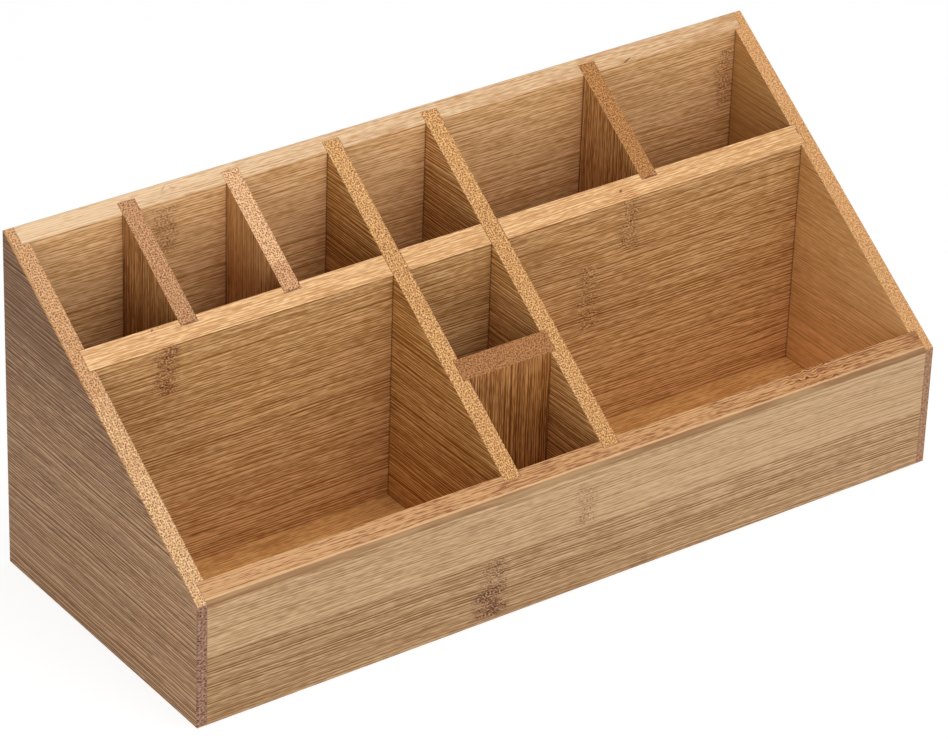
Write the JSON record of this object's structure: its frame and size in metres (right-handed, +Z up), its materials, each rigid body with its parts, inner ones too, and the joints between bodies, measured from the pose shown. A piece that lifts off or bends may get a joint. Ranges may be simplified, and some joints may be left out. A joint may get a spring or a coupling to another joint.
{
  "type": "desk organizer",
  "caption": "Bamboo desk organizer with a low front, a tall back and a sloping top, divided by glued boards into open upright compartments for pens, brushes and small things.",
  "frame": {"origin": "middle of the footprint, on the plane that the organizer stands on", "axes": "+X along the width, to the right as seen from the low front; +Y from the low front to the tall back; +Z up"},
  "size_m": [0.325, 0.126, 0.137],
  "materials": {
    "bamboo_side": "carbonised bamboo, sanded, with a thin matt clear lacquer",
    "bamboo_panel": "carbonised bamboo, sanded, with a thin matt clear lacquer",
    "bamboo_divider": "carbonised bamboo, sanded, with a thin matt clear lacquer",
    "bamboo_floor": "carbonised bamboo, sanded, with a thin matt clear lacquer"
  },
  "bodies": {
    "root": {"left_side": "bamboo_side", "right_side": "bamboo_side", "front_panel": "bamboo_panel", "back_panel": "bamboo_panel", "middle_wall": "bamboo_panel", "bottom_panel": "bamboo_floor", "long_divider_left": "bamboo_divider", "long_divider_right": "bamboo_divider", "rear_divider_left": "bamboo_divider", "rear_divider_centre": "bamboo_divider", "rear_divider_right": "bamboo_divider", "front_divider": "bamboo_divider"}
  },
  "joints": []
}
